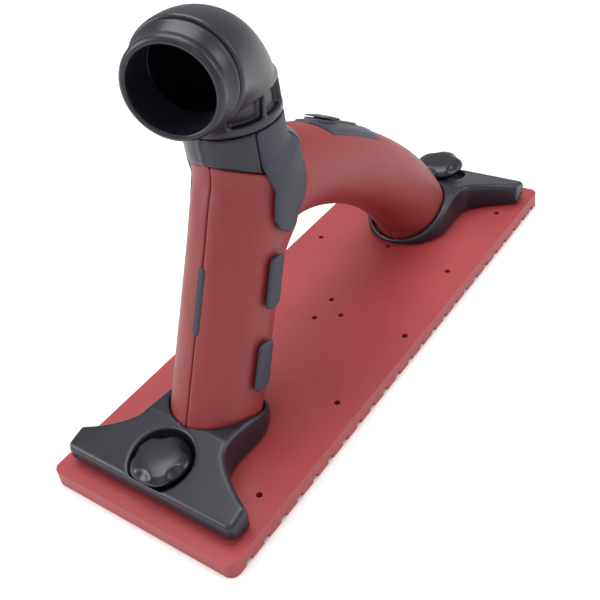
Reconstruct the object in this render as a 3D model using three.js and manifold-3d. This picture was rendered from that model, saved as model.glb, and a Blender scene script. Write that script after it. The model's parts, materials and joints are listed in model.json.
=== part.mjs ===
// Vacuum hand sander: a flat suction plate, two screw-down sheet clamps, a hollow column with an arched
// handle, and a swivelling hose elbow. Millimetres. +X runs along the plate towards the arch's foot,
// +Z is up, the origin is the middle of the plate's underside, and the object is symmetric about y = 0
// apart from the elbow, which is turned aside at rest.
import * as THREE from 'three';
import { mergeVertices } from 'three/addons/utils/BufferGeometryUtils.js';
import Module from 'manifold-3d';

const wasm = await Module();
wasm.setup();

// ---------------------------------------------------------------- driving dimensions
const GAP = 0.3; // clearance between pieces that touch

const PLATE = { length: 235, width: 82.6, height: 6.4, corner: 3.5, rim: 5, web: 2.2 };
const CHANNEL = { count: 24, pitch: 9.5, width: 3.2, depth: 1.6, plate: 3.0 };
const BLEED_HOLE = 1.3; // radius of the small holes through the plate's top
const BLEED_POINTS = [
  [-90, -32], [-42, -32], [1, -36], [45, -32], [93, -32], [-90, 32], [-42, 32], [1, 36], [45, 32],
  [93, 32], [8, 2.5], [1, -6.5], [-5, 2.5], [51, 0],
];

const CLAMP = {
  stud: 100.4, // distance of each clamp screw from the plate's middle
  outer: 110.6, tipInner: 102, halfWidth: 37.7, // wing tips
  edgeTop: 14.6, slope: 0.25, // height at the outer edge, and rise towards the middle
  recess: [10.9, 12.4], recessWall: 109.4, recessFloor: 11.6, recessTop: 17.5, lift: 2.5,
};
// A knob's heights when screwed right down; the front one stands undone by some turns.
const KNOB = { lobe: 11, valley: 8.6, lobes: 5, hub: 8, bottom: 12.6, head: 15.4, rim: 17.4, top: 19.8 };
const RAISED = { rear: 0, front: 4.5 };
const STUD = { radius: 2.8, clearance: 3.3, bottom: 0.4, top: 17.6 };

const COLUMN = { lean: 26.2, x: -67.3, z: 21.4, radius: 16.5, length: 80.6, flare: 1.9 };
const HANDLE_WALL = 3.4;
const HANDLE_SIDES = 20;
const DUCT = 6.4; // radius of the dust duct through each foot
const FOOT = { x: 72, z: 6.9, long: 16.6, wide: 14.6 }; // both feet, at the plate
const ARCH_PATH = [[-33.9, 77.6], [-27.1, 93.7], [21.8, 71.9], [58.1, 43.1], [71.5, 13.6]];
const ARCH = { rise: [20.4, 11.6, 18.1], half: [15.9, 15.4] };

// The swivel: z is the joint between collar and elbow; the spigot, seal and clip hang below it.
const SWIVEL = {
  x: -33.4, z: 112.8, radius: 16.85, bore: 14.5, spigot: 14.1, depth: 10.5,
  seal: 5.9, clip: 9.4, // how far down the spigot these sit
};
const ELBOW = { bend: 25.2, start: 16.8, swell: 1.3, yaw: 162.8, bore: 13.5 };
const CUFF = { length: 9.5, spigot: 15.2, spigotLength: 5 };

const TOP_PLANE = PLATE.height + GAP; // where pieces stand on the plate

// ---------------------------------------------------------------- solids
const v3 = (x, y, z) => new THREE.Vector3(x, y, z);
const rad = THREE.MathUtils.degToRad;

function toSolid(geometry) {
  const g = geometry.clone();
  g.deleteAttribute('normal');
  g.deleteAttribute('uv');
  const merged = mergeVertices(g, 1e-4);
  return new wasm.Manifold(new wasm.Mesh({
    numProp: 3,
    vertProperties: new Float32Array(merged.attributes.position.array),
    triVerts: new Uint32Array(merged.index.array),
  }));
}

function toGeometry(solid) {
  const mesh = solid.getMesh();
  const g = new THREE.BufferGeometry();
  const points = new Float32Array(mesh.numVert * 3);
  for (let i = 0; i < mesh.numVert; i++) {
    for (let k = 0; k < 3; k++) points[3 * i + k] = mesh.vertProperties[i * mesh.numProp + k];
  }
  g.setAttribute('position', new THREE.BufferAttribute(points, 3));
  g.setIndex(new THREE.BufferAttribute(new Uint32Array(mesh.triVerts), 1));
  const flat = g.toNonIndexed();
  flat.computeVertexNormals();
  return flat;
}

// A copy of a solid with every point moved; flip turns the faces round, for a mirror image.
function mapped(solid, move, flip = false) {
  const mesh = solid.getMesh();
  const points = new Float32Array(3 * mesh.numVert);
  for (let i = 0; i < mesh.numVert; i++) {
    const at = i * mesh.numProp;
    points.set(move(...mesh.vertProperties.slice(at, at + 3)), 3 * i);
  }
  const faces = Uint32Array.from(mesh.triVerts);
  if (flip) {
    for (let i = 0; i < faces.length; i += 3) [faces[i], faces[i + 1]] = [faces[i + 1], faces[i]];
  }
  return new wasm.Manifold(new wasm.Mesh({ numProp: 3, vertProperties: points, triVerts: faces }));
}
const mirrorY = (solid) => mapped(solid, (x, y, z) => [x, -y, z], true);
const lowered = (solid, drop) => mapped(solid, (x, y, z) => [x, y, z - drop]);

const cut = (solid, ...tools) => tools.reduce((s, t) => s.subtract(t), solid);
const join = (first, ...rest) => rest.reduce((s, t) => s.add(t), first);

// A closed body through rings of equal point count, with flat ends.
function loft(rings) {
  const n = rings[0].length;
  const points = rings.flat();
  const index = [];
  for (let r = 0; r + 1 < rings.length; r++) {
    for (let i = 0; i < n; i++) {
      const a = r * n + i;
      const b = r * n + (i + 1) % n;
      index.push(a, b, b + n, a, b + n, a + n);
    }
  }
  const last = (rings.length - 1) * n;
  for (let i = 1; i + 1 < n; i++) {
    index.push(0, i + 1, i);
    index.push(last, last + i, last + i + 1);
  }
  const g = new THREE.BufferGeometry();
  g.setAttribute('position', new THREE.Float32BufferAttribute(points.flatMap((p) => [p.x, p.y, p.z]), 3));
  g.setIndex(index);
  return toSolid(g);
}

// An ellipse of points about a centre, in the plane of the two unit directions.
function ring(centre, u, v, a, b = a, sides = 20) {
  return Array.from({ length: sides }, (_, i) => {
    const t = (2 * Math.PI * i) / sides;
    return centre.clone().addScaledVector(u, a * Math.cos(t)).addScaledVector(v, b * Math.sin(t));
  });
}

// A plan outline pushed up from z0 to z1.
function prism(points, z0, z1) {
  const shape = points instanceof THREE.Shape
    ? points
    : new THREE.Shape(points.map(([x, y]) => new THREE.Vector2(x, y)));
  const g = new THREE.ExtrudeGeometry(shape, { depth: z1 - z0, bevelEnabled: false, curveSegments: 4 });
  g.translate(0, 0, z0);
  return toSolid(g);
}

// A side outline in x and z, pushed from y = -w to y = w.
function slab(points, w) {
  const shape = new THREE.Shape(points.map(([x, z]) => new THREE.Vector2(x, z)));
  const g = new THREE.ExtrudeGeometry(shape, { depth: 2 * w, bevelEnabled: false });
  g.rotateX(Math.PI / 2);
  g.translate(0, w, 0);
  return toSolid(g);
}

const roundedRect = (length, width, r) => {
  const [x, y] = [length / 2, width / 2];
  const s = new THREE.Shape();
  s.moveTo(-x + r, -y);
  s.lineTo(x - r, -y).absarc(x - r, -y + r, r, -Math.PI / 2, 0);
  s.lineTo(x, y - r).absarc(x - r, y - r, r, 0, Math.PI / 2);
  s.lineTo(-x + r, y).absarc(-x + r, y - r, r, Math.PI / 2, Math.PI);
  s.lineTo(-x, -y + r).absarc(-x + r, -y + r, r, Math.PI, 1.5 * Math.PI);
  return s;
};

function box(x0, x1, y0, y1, z0, z1) {
  const g = new THREE.BoxGeometry(x1 - x0, y1 - y0, z1 - z0);
  g.translate((x0 + x1) / 2, (y0 + y1) / 2, (z0 + z1) / 2);
  return toSolid(g);
}

// A turned body from [radius, height] points, standing on z = 0 at x, y.
function turned(profile, x = 0, y = 0, sides = 20) {
  const g = new THREE.LatheGeometry(profile.map(([r, z]) => new THREE.Vector2(r, z)), sides);
  g.rotateX(Math.PI / 2);
  g.translate(x, y, 0);
  return toSolid(g);
}

const disc = (x, y, r, z0, z1, sides = 16) => turned([[0, z0], [r, z0], [r, z1], [0, z1]], x, y, sides);
const washer = (x, y, r0, r1, z0, z1, sides = 20) => turned(
  [[r0, z0], [r1, z0], [r1, z1], [r0, z1], [r0, z0]], x, y, sides,
);
const mirrorX = (points) => points.map(([x, y]) => [-x, y]).reverse();

// ---------------------------------------------------------------- plate
function plateTools(radius, z0, z1) {
  return BLEED_POINTS.map(([x, y]) => disc(x, y, radius, z0, z1, 6));
}

const PLATE_SCREWS = [-81, 0, 81].flatMap((x) => [[x, -26], [x, 26]]);
const FOOT_BOLTS = [-1, 1].flatMap((end) => [[end * FOOT.x, -11.2], [end * FOOT.x, 11.2]]);
const channelX = (i) => (i - (CHANNEL.count - 1) / 2) * CHANNEL.pitch;

function basePlate() {
  const inside = { length: PLATE.length - 2 * PLATE.rim, width: PLATE.width - 2 * PLATE.rim };
  let plate = prism(roundedRect(PLATE.length, PLATE.width, PLATE.corner), 0, PLATE.height);
  const underside = PLATE.height - PLATE.web;
  let pocket = prism(roundedRect(inside.length, inside.width, 2), -1, underside);
  const bosses = PLATE_SCREWS.map(([x, y]) => disc(x, y, 3.6, CHANNEL.plate + GAP, underside + 1, 8));
  const nutBosses = [-1, 1].map((end) => disc(end * CLAMP.stud, 0, 7.6, CHANNEL.plate + GAP, 8, 16));
  pocket = cut(pocket, ...bosses, ...nutBosses);
  plate = cut(join(plate, ...nutBosses), pocket);
  for (let i = 0; i < CHANNEL.count; i++) {
    const x = channelX(i);
    plate = plate.subtract(box(
      x - CHANNEL.width / 2, x + CHANNEL.width / 2, -PLATE.width, PLATE.width, -1, CHANNEL.depth,
    ));
  }
  const screwHoles = PLATE_SCREWS.map(([x, y]) => disc(x, y, 1.5, -1, 5.6, 8));
  const boltHoles = FOOT_BOLTS.map(([x, y]) => disc(x, y, 2.1, -1, 9, 8));
  const outlets = [-1, 1].map((end) => disc(end * FOOT.x, 0, 6.4, -1, 9, 16));
  const studHoles = [-1, 1].flatMap((end) => [
    disc(end * CLAMP.stud, 0, STUD.clearance, -1, 12, 12),
    disc(end * CLAMP.stud, 0, 5.2, -1, 6.6, 6),
  ]);
  const bleeds = plateTools(BLEED_HOLE, -1, 8);
  return cut(plate, ...bleeds, ...screwHoles, ...boltHoles, ...outlets, ...studHoles);
}

function channelPlate() {
  const margin = 2 * (PLATE.rim + GAP);
  const size = { length: PLATE.length - margin, width: PLATE.width - margin };
  let plate = prism(roundedRect(size.length, size.width, 2), 0, CHANNEL.plate);
  for (let i = 0; i < CHANNEL.count; i++) {
    const x = channelX(i);
    plate = plate.subtract(box(
      x - CHANNEL.width / 2, x + CHANNEL.width / 2, -PLATE.width, PLATE.width, -1, CHANNEL.depth,
    ));
    if (i % 3 === 2 && i < CHANNEL.count - 1) {
      plate = cut(plate, ...[-15, 15].map((y) => disc(x, y, 1.5, -1, CHANNEL.plate + 1, 6)));
    }
  }
  const heads = PLATE_SCREWS.map(([x, y]) => disc(x, y, 2.9, -1, 1.9, 10));
  const shanks = PLATE_SCREWS.map(([x, y]) => disc(x, y, 1.5, -1, 4, 8));
  const boltPockets = FOOT_BOLTS.map(([x, y]) => disc(x, y, 4, -1, 4, 10));
  const studPockets = [-1, 1].map((end) => disc(end * CLAMP.stud, 0, 3.6, -1, 4, 12));
  return cut(plate, ...heads, ...shanks, ...boltPockets, ...studPockets);
}

const plateScrew = ([x, y]) => turned(
  [[0, 0.3], [2.5, 0.3], [2.5, 1.4], [1.2, 1.7], [1.2, 5.3], [0, 5.3]], x, y, 8,
);

const footBolt = ([x, y]) => turned(
  [[0, 1.2], [3.5, 1.2], [3.5, 3.9], [1.8, 3.9], [1.8, 15], [0, 15]], x, y, 10,
);

// ---------------------------------------------------------------- handle: column and arch
const LEAN = v3(Math.sin(rad(COLUMN.lean)), 0, Math.cos(rad(COLUMN.lean)));
const ACROSS = v3(Math.cos(rad(COLUMN.lean)), 0, -Math.sin(rad(COLUMN.lean)));
const EX = v3(1, 0, 0);
const EY = v3(0, 1, 0);
const EZ = v3(0, 0, 1);
const columnPoint = (s) => v3(COLUMN.x, 0, COLUMN.z).addScaledVector(LEAN, s);

function columnSolid(offset, sides = HANDLE_SIDES) {
  const inner = offset < -2; // an inner body runs out past both ends, through a narrow duct in the foot
  const rings = [];
  if (inner) {
    rings.push(ring(v3(-FOOT.x, 0, FOOT.z - 6), EX, EY, DUCT, DUCT, sides));
    rings.push(ring(v3(-FOOT.x, 0, 11), EX, EY, DUCT, DUCT, sides));
  } else {
    rings.push(ring(v3(-FOOT.x, 0, FOOT.z), EX, EY, FOOT.long, FOOT.wide, sides));
  }
  rings.push(ring(v3(-70.6, 0, inner ? 17 : 14), EX, EY, 17.6 + offset, 16.3 + offset, sides));
  const swell = [[6, 0.1], [30, 0], [56, 0], [73, 0], [77, 0.75], [COLUMN.length, COLUMN.flare]];
  for (const [s, extra] of swell) {
    rings.push(ring(columnPoint(s), ACROSS, EY, COLUMN.radius + extra + offset, undefined, sides));
  }
  if (inner) {
    const radius = COLUMN.radius + offset;
    rings.push(ring(columnPoint(COLUMN.length + 6), ACROSS, EY, radius, radius, sides));
  }
  return loft(rings);
}

// The arch's centre line, a Bezier curve in the plane y = 0.
function archPoint(t) {
  let p = ARCH_PATH.map(([x, z]) => v3(x, 0, z));
  while (p.length > 1) p = p.slice(1).map((q, i) => p[i].clone().lerp(q, t));
  return p[0];
}
const archTangent = (t) => {
  const ahead = archPoint(Math.min(t + 0.01, 1));
  return ahead.sub(archPoint(Math.max(t - 0.01, 0))).normalize();
};
const archNormal = (t) => v3(-archTangent(t).z, 0, archTangent(t).x);
const archRise = (t) => ARCH.rise[0] * (1 - t) ** 2 + 2 * ARCH.rise[1] * t * (1 - t) + ARCH.rise[2] * t * t;
const archHalf = (t) => ARCH.half[0] + (ARCH.half[1] - ARCH.half[0]) * t;

function archSolid(offset, sides = HANDLE_SIDES) {
  const rings = [ring(columnPoint(44), ACROSS, EY, COLUMN.radius - 0.4 + offset, undefined, sides)];
  for (const t of [0, 0.1, 0.2, 0.3, 0.4, 0.52, 0.64, 0.76, 0.88]) {
    const normal = archNormal(t).negate();
    rings.push(ring(archPoint(t), normal, EY, archRise(t) + offset, archHalf(t) + offset, sides));
  }
  const inner = offset < -2;
  const back = EX.clone().negate();
  rings.push(ring(v3(70.6, 0, inner ? 17 : 14), back, EY, 17.6 + offset, 15.6 + offset, sides));
  if (inner) {
    rings.push(ring(v3(FOOT.x, 0, 11), back, EY, DUCT, DUCT, sides));
    rings.push(ring(v3(FOOT.x, 0, FOOT.z - 6), back, EY, DUCT, DUCT, sides));
  } else {
    rings.push(ring(v3(FOOT.x, 0, FOOT.z), back, EY, FOOT.long, FOOT.wide, sides));
  }
  return loft(rings);
}

const handleSolid = (offset) => join(columnSolid(offset), archSolid(offset));

// ---------------------------------------------------------------- slider on the arch
const SLIDE = {
  from: 0.335, to: 0.585, width: 19, shoulder: 8.5, // bezel: where it lies on the arch, and its size
  slot: 7.8, slotFrom: 7, slotTo: 33.8, rise: 0.5, // track: its slot, and its height above the crown
  capFrom: 8, capLength: 12.4, capHalf: 4.4, travel: 12,
};
const crown = (t) => archPoint(t).addScaledVector(archNormal(t), archRise(t));
const SLIDE_FROM = crown(SLIDE.from);
const SLIDE_TO = crown(SLIDE.to);
const SLIDE_AXIS = SLIDE_TO.clone().sub(SLIDE_FROM).normalize();
const SLIDE_UP = v3(-SLIDE_AXIS.z, 0, SLIDE_AXIS.x);
const SLIDE_LENGTH = SLIDE_TO.distanceTo(SLIDE_FROM);

// A plan outline in the slide's own frame (along, across), pushed from z0 to z1 off the chord line.
function slidePrism(points, z0, z1) {
  const shape = new THREE.Shape(points.map(([x, y]) => new THREE.Vector2(x, y)));
  const g = new THREE.ExtrudeGeometry(shape, { depth: z1 - z0, bevelEnabled: false });
  g.translate(0, 0, z0);
  g.applyMatrix4(new THREE.Matrix4().makeBasis(SLIDE_AXIS, EY, SLIDE_UP).setPosition(SLIDE_FROM));
  return toSolid(g);
}
const rect = (x0, x1, w) => [[x0, -w], [x1, -w], [x1, w], [x0, w]];
const bezelOutline = (grow) => {
  const [end, side] = [SLIDE_LENGTH + grow, SLIDE.width / 2 + grow];
  return [
    [1 - grow, -2.5], [SLIDE.shoulder, -side], [end, -side],
    [end, side], [SLIDE.shoulder, side], [1 - grow, 2.5],
  ];
};

// Height of the crown above the chord that the slider runs along, and the heights counted from it.
const CROWN = crown((SLIDE.from + SLIDE.to) / 2).sub(SLIDE_FROM).dot(SLIDE_UP);
const TRACK_TOP = CROWN + SLIDE.rise;
const STEM = { half: 1.9, length: 6, from: SLIDE.capFrom + 3.2 };
const SHUTTER = { top: -4.9, bottom: -6.4, half: 4.4, overhang: 4 };

const sliderPocket = () => slidePrism(bezelOutline(GAP), -12, 14).subtract(handleSolid(-2.2));
const stemSlot = () => slidePrism(
  rect(STEM.from - 1, STEM.from + STEM.length + SLIDE.travel + 1, STEM.half + 0.5), -12, 14,
);

function sliderBezel() {
  const shell = cut(handleSolid(0.5), handleSolid(-1.9));
  return cut(
    shell.intersect(slidePrism(bezelOutline(0), -12, 14)),
    slidePrism(rect(SLIDE.slotFrom, SLIDE.slotTo, SLIDE.slot / 2), -12, 14),
  );
}

function sliderTrack() {
  const outline = rect(SLIDE.slotFrom + GAP, SLIDE.slotTo - GAP, SLIDE.slot / 2 - GAP);
  return cut(slidePrism(outline, -12, TRACK_TOP), handleSolid(-1.9), stemSlot());
}

function airflowSlider() {
  const [x0, x1] = [SLIDE.capFrom, SLIDE.capFrom + SLIDE.capLength];
  const w = SLIDE.capHalf;
  const low = TRACK_TOP + GAP;
  const side = [
    [x0, low], [x1, low], [x1, low + 0.6], [x1 - 1, low + 0.9], [x0 + 6, low + 1.1], [x0, low + 0.6],
  ];
  const shape = new THREE.Shape(side.map(([x, z]) => new THREE.Vector2(x, z)));
  const g = new THREE.ExtrudeGeometry(shape, { depth: 2 * w, bevelEnabled: false });
  g.applyMatrix4(new THREE.Matrix4().makeBasis(SLIDE_AXIS, SLIDE_UP, EY.clone().negate())
    .setPosition(SLIDE_FROM.clone().addScaledVector(EY, w)));
  const stemPlan = rect(STEM.from, STEM.from + STEM.length, STEM.half);
  const stem = slidePrism(stemPlan, SHUTTER.top + GAP, low + 0.3);
  return join(toSolid(g), stem);
}

// The shutter inside the arch that covers the bleed slot, carried by the slider's stem.
function airflowShutter() {
  const outline = rect(STEM.from - SHUTTER.overhang, STEM.from + STEM.length + 1, SHUTTER.half);
  return slidePrism(outline, SHUTTER.bottom, SHUTTER.top);
}

// ---------------------------------------------------------------- collar and handle halves
const AXIS_X = SWIVEL.x;
const sealZ = SWIVEL.z - SWIVEL.seal;
const clipZ = SWIVEL.z - SWIVEL.clip;

// The collar turns the leaning column upright: a tilted ring at its foot, level rings above.
function collarSolid(offset, low = GAP, high = -GAP / 2) {
  const r = SWIVEL.radius + offset;
  const foot = columnPoint(COLUMN.length + low).addScaledVector(ACROSS, -0.8);
  return loft([
    ring(foot, ACROSS, EY, r + COLUMN.flare - 0.4),
    ring(v3(AXIS_X, 0, SWIVEL.z - 8.8), EX, EY, r),
    ring(v3(AXIS_X, 0, SWIVEL.z + high), EX, EY, r),
  ]);
}

const bodySolid = (offset) => join(handleSolid(offset), collarSolid(offset, -2, 2));

// A rod-shaped tool from one point to another.
function rod(from, to, r, sides = 12) {
  const axis = to.clone().sub(from);
  const g = new THREE.CylinderGeometry(r, r, axis.length(), sides);
  g.applyQuaternion(new THREE.Quaternion().setFromUnitVectors(EY, axis.clone().normalize()));
  g.translate((from.x + to.x) / 2, (from.y + to.y) / 2, (from.z + to.z) / 2);
  return toSolid(g);
}

// Pads set into the column, each outlined by [distance up the column, angle about it], 0 facing forward.
const REAR_PAD = [[23.3, 174.8], [47.2, 174.8], [47.2, 185.2], [23.3, 185.2]];
const SIDE_PADS = {
  upper: [[34.2, -100], [52.6, -101], [55.2, -79], [36.4, -76]],
  lower: [[4.4, -102], [22.4, -102], [25, -79], [7.2, -76]],
};
// The web pad covers each side where the collar, the column and the arch meet: outline in x and z.
const WEB_PAD = [
  [-40.2, 112.5], [-40.2, 97], [-38.8, 91], [-42, 82.5], [-41, 78], [-36, 73.8], [-31, 72.4], [-25.5, 74.4],
  [-22.4, 78], [-18.8, 87.6], [-17.5, 95], [-19.5, 101], [-22, 104], [-22, 112.5],
];
const PAD = { proud: 0.4, depth: 1.5 };

const grow = (outline, by) => {
  const [cx, cy] = [0, 1].map((k) => outline.reduce((sum, p) => sum + p[k], 0) / outline.length);
  return outline.map(([x, y]) => {
    const d = Math.hypot(x - cx, y - cy);
    return [x + ((x - cx) / d) * by, y + ((y - cy) / d) * by];
  });
};

// Tools that mark out the pads of the right side, and the one at the rear, each grown by a margin.
function columnPadTool(outline, margin) {
  const middle = [0, 1].map((k) => outline.reduce((sum, p) => sum + p[k], 0) / outline.length);
  const perDegree = rad(1) * COLUMN.radius;
  const grown = outline.map(([s, a]) => [
    s + Math.sign(s - middle[0]) * margin, a + (Math.sign(a - middle[1]) * margin) / perDegree,
  ]);
  return loft([23, 11].map((r) => grown.map(([s, a]) => columnPoint(s)
    .addScaledVector(ACROSS, r * Math.cos(rad(a)))
    .addScaledVector(EY, r * Math.sin(rad(a))))));
}

function webPadTool(margin) {
  const shape = new THREE.Shape(grow(WEB_PAD, margin).map(([x, z]) => new THREE.Vector2(x, z)));
  const g = new THREE.ExtrudeGeometry(shape, { depth: 20, bevelEnabled: false });
  g.rotateX(Math.PI / 2);
  g.translate(0, -6.5, 0);
  return toSolid(g);
}

const PAD_TOOLS = {
  upper_grip_pad: (margin) => columnPadTool(SIDE_PADS.upper, margin),
  lower_grip_pad: (margin) => columnPadTool(SIDE_PADS.lower, margin),
  web_pad: webPadTool,
};
const rearPadTool = (margin) => columnPadTool(REAR_PAD, margin);
const padFrom = (tool) => cut(bodySolid(PAD.proud), bodySolid(-PAD.depth)).intersect(tool(0));
const pocketFor = (tool) => tool(GAP).subtract(bodySolid(-PAD.depth - GAP));

const CROSS_SCREWS = [0.3, 0.72].map(archPoint);
const alongY = (p, y0, y1, r, sides = 10) => rod(v3(p.x, y0, p.z), v3(p.x, y1, p.z), r, sides);

// The right half of the hollow handle, with its screw posts still solid.
function handleHalf() {
  const inner = cut(handleSolid(-HANDLE_WALL), ...CROSS_SCREWS.map((p) => alongY(p, -20, 20, 3.8)));
  return cut(
    handleSolid(0), box(-200, 200, -GAP / 2, 100, -10, 200), inner, collarSolid(GAP, 0, 3),
    ...Object.values(PAD_TOOLS).map(pocketFor), pocketFor(rearPadTool), sliderPocket(), stemSlot(),
    ...FOOT_BOLTS.map(([x, y]) => disc(x, y, 2.1, 0, 16, 8)),
  );
}
const handleRight = (half) => cut(half, ...CROSS_SCREWS.map((p) => alongY(p, -9.5, 20, 1.6, 8)));
const handleLeft = (half) => cut(
  mirrorY(half), ...CROSS_SCREWS.map((p) => alongY(p, -20, 20, 1.6, 8)),
  ...CROSS_SCREWS.map((p) => alongY(p, 12, 20, 3.2)),
);
const crossScrew = (p) => join(alongY(p, -9, 12.6, 1.25, 8), alongY(p, 12.3, 14.4, 2.8));

function swivelCollar() {
  const [low, high] = [COLUMN.length - 8, COLUMN.length + 0.5];
  const bore = loft([
    ring(columnPoint(low), ACROSS, EY, 13.1),
    ring(columnPoint(high), ACROSS, EY, 13.1),
    ring(v3(AXIS_X, 0, SWIVEL.z - SWIVEL.depth - 1), EX, EY, 13.1),
    ring(v3(AXIS_X, 0, SWIVEL.z + 1), EX, EY, 13.1),
  ]);
  const socket = disc(AXIS_X, 0, SWIVEL.bore, SWIVEL.z - SWIVEL.depth - GAP, SWIVEL.z + 9, 20);
  const clipGroove = disc(AXIS_X, 0, 15.4, clipZ - 0.7, clipZ + 0.7, 20);
  const pocket = pocketFor(webPadTool);
  return cut(collarSolid(0), bore, socket, clipGroove, pocket, mirrorY(pocket));
}

function dustTube() {
  const wall = (r, more) => loft(
    [8 - more, COLUMN.length - 3.8 + more].map((s) => ring(columnPoint(s), ACROSS, EY, r, r, 16)),
  );
  const port = rod(columnPoint(66), columnPoint(66).addScaledVector(ACROSS, 20), 5, 12);
  return cut(wall(12.4, 0), wall(11.2, 1), port);
}

// ---------------------------------------------------------------- elbow and hose cuff
const PORT = v3(-Math.cos(rad(180 - ELBOW.yaw)), -Math.sin(rad(180 - ELBOW.yaw)), 0);
const PORT_SIDE = v3(PORT.y, -PORT.x, 0); // level, square to the port
const PORT_Z = SWIVEL.z + ELBOW.bend;
const BEND_CENTRE = v3(AXIS_X, 0, SWIVEL.z).addScaledVector(PORT, ELBOW.bend);

// A ring of the elbow, a turn of 0 level at the swivel and 90 facing the port.
function bendRing(turn, r, bend = ELBOW.bend) {
  const out = PORT.clone().multiplyScalar(-Math.cos(rad(turn))).addScaledVector(EZ, Math.sin(rad(turn)));
  return ring(BEND_CENTRE.clone().addScaledVector(out, bend), out, PORT_SIDE, r);
}

const TURNS = [0, 18, 36, 54, 72, 90];
const elbowRadius = (turn) => ELBOW.start + ELBOW.swell * Math.sin(rad(turn));

// A turned body about the port's axis, its heights counted from the swivel's axis.
function aboutPort(profile, sides = 20) {
  const g = new THREE.LatheGeometry(profile.map(([r, s]) => new THREE.Vector2(r, s)), sides);
  g.applyMatrix4(new THREE.Matrix4().makeBasis(PORT_SIDE, PORT, EZ)
    .setPosition(v3(AXIS_X, 0, PORT_Z)));
  return toSolid(g);
}

// Windows sunk in the skirt, in two sets of three that leave the port's underside plain.
const WINDOWS = { from: 3.4, to: 11.4, depth: 14.8, pitch: 44, first: 21, span: 39, count: 3 };
function elbowWindow(start) {
  const turn = (a, r) => {
    const base = Math.atan2(PORT.y, PORT.x) + rad(a);
    return [AXIS_X + r * Math.cos(base), r * Math.sin(base)];
  };
  const steps = [0, 1, 2, 3].map((k) => start + (k * WINDOWS.span) / 3);
  const outline = [...steps.map((a) => turn(a, 20)), ...steps.reverse().map((a) => turn(a, WINDOWS.depth))];
  return prism(outline, SWIVEL.z + WINDOWS.from, SWIVEL.z + WINDOWS.to);
}

const CUFF_FROM = ELBOW.bend + 0.4;
const MOUTH = CUFF_FROM + CUFF.length;
const CUFF_END = CUFF_FROM - CUFF.spigotLength;

function hoseElbow() {
  const foot = SWIVEL.z + GAP / 2;
  const skirt = turned(
    [[0, foot], [SWIVEL.radius, foot], [SWIVEL.radius, SWIVEL.z + 10],
      [ELBOW.start, SWIVEL.z + 15], [0, SWIVEL.z + 15]],
    AXIS_X, 0,
  );
  const start = Math.asin(GAP / 2 / ELBOW.bend) * (180 / Math.PI);
  const tube = loft([start, ...TURNS.slice(1)].map((turn) => bendRing(turn, elbowRadius(turn))));
  const spigot = disc(AXIS_X, 0, SWIVEL.spigot, SWIVEL.z - SWIVEL.depth, SWIVEL.z + 2, 20);
  const bore = loft([
    ...[SWIVEL.z - 12, SWIVEL.z].map((z) => bendRing(0, 12.6).map((p) => p.clone().setZ(z))),
    ...TURNS.slice(1).map((turn) => bendRing(turn, ELBOW.bore)),
    bendRing(90, ELBOW.bore).map((p) => p.clone().addScaledVector(PORT, 5)),
  ]);
  const far = CUFF_END - GAP;
  const socket = aboutPort([[0, far], [CUFF.spigot + GAP, far], [CUFF.spigot + GAP, 30], [0, 30]]);
  const windows = [];
  for (let k = 0; k < WINDOWS.count; k++) {
    const a = WINDOWS.first + k * WINDOWS.pitch;
    windows.push(elbowWindow(a), elbowWindow(-a - WINDOWS.span));
  }
  return cut(
    join(tube, skirt, spigot), bore, socket, ...windows,
    washer(AXIS_X, 0, 13.2, 16, sealZ - 1.2, sealZ + 1.2),
    washer(AXIS_X, 0, 13.2, 16, clipZ - 0.6, clipZ + 0.6),
  );
}

const sealFrom = CUFF_END + 1.8;
const hoseCuff = () => aboutPort([
  [13.5, CUFF_END], [CUFF.spigot, CUFF_END], [CUFF.spigot, sealFrom], [14.3, sealFrom],
  [14.3, sealFrom + 1.8], [CUFF.spigot, sealFrom + 1.8], [CUFF.spigot, CUFF_FROM], [17.3, CUFF_FROM],
  [17.3, MOUTH - 8], [16.2, MOUTH - 6], [15.5, MOUTH - 4.2], [15.9, MOUTH - 3.4], [16.1, MOUTH - 2.1],
  [15.8, MOUTH - 0.9], [14.5, MOUTH], [13.5, MOUTH], [13.5, CUFF_END],
]);
const cuffSeal = () => aboutPort([
  [14.45, sealFrom + 0.2], [15.2, sealFrom + 0.2], [15.2, sealFrom + 1.6], [14.45, sealFrom + 1.6],
  [14.45, sealFrom + 0.2],
]);
const swivelSeal = () => washer(AXIS_X, 0, 13.4, 14.3, sealZ - 1, sealZ + 1);
const swivelClip = () => cut(
  washer(AXIS_X, 0, 13.4, 15.2, clipZ - 0.4, clipZ + 0.4), box(AXIS_X - 3, AXIS_X + 3, 10, 20, 90, 120),
);

// ---------------------------------------------------------------- clamps
// Half of the jaw's plan, as distance out from the plate's middle and half-width.
const JAW_EDGE = [
  [71, 18.7], [82, 18.3], [88.5, 19.3], [92.8, 22.9], [96.5, 27.7], [99.7, 32.9],
  [CLAMP.tipInner, CLAMP.halfWidth], [109.2, CLAMP.halfWidth], [CLAMP.outer + 0.2, CLAMP.halfWidth - 1.6],
];
const JAW_NOSE = [105, 125, 145, 165].map((a) => [71 + 18.7 * Math.cos(rad(a)), 18.7 * Math.sin(rad(a))]);
const JAW_SIDE = [
  [48, 6.9], [105.5, 6.9], [106.5, 8], [113, 8], [113, 13], [CLAMP.outer, CLAMP.edgeTop],
  [86, CLAMP.edgeTop + CLAMP.slope * (CLAMP.outer - 86)], [80, 20.5], [72, 19.2], [62, 14.6],
  [54, 10], [48, 8.6],
];

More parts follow.
